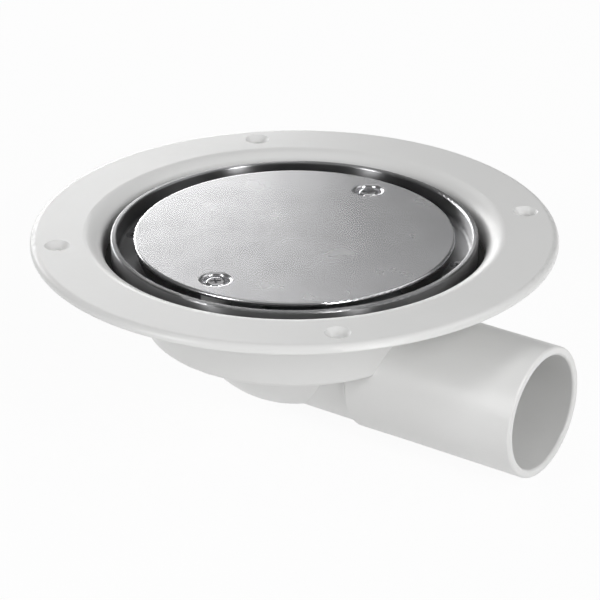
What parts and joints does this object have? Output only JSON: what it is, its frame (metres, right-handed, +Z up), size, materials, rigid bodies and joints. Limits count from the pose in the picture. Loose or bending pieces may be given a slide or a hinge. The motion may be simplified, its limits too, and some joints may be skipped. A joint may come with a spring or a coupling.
{
  "type": "floor drain",
  "caption": "Round floor drain with a wide flange, a clamping ring for sheet flooring, a screwed solid cover with a ring slot, a lift-out trap and a side outlet spigot",
  "frame": {"origin": "The centre of the floor flange's underside, in the plane of the deck that it is screwed to, on the drain's upright axis", "axes": "+X is the way the outlet spigot points, +Z is up out of the floor, and +Y follows the right-hand rule"},
  "size_m": [0.2113, 0.2, 0.0704],
  "materials": {
    "white_plastic": "smooth moulded white plastic with a soft sheen",
    "black_rubber": "plain black sealing rubber",
    "polished_steel": "stainless steel, turned and polished",
    "satin_steel": "stainless sheet, satin ground",
    "bright_steel": "bright screw steel",
    "brass": "plain turned brass",
    "grey_plastic": "plain moulded grey plastic"
  },
  "bodies": {
    "root": {"drain_body": "white_plastic", "ring_gasket": "black_rubber", "clamp_ring": "polished_steel", "clamp_screws": "bright_steel", "cover_plate": "satin_steel", "cover_screws": "bright_steel", "screw_inserts": "brass", "trap_funnel": "grey_plastic", "trap_seal": "black_rubber", "trap_cup": "grey_plastic"}
  },
  "joints": []
}
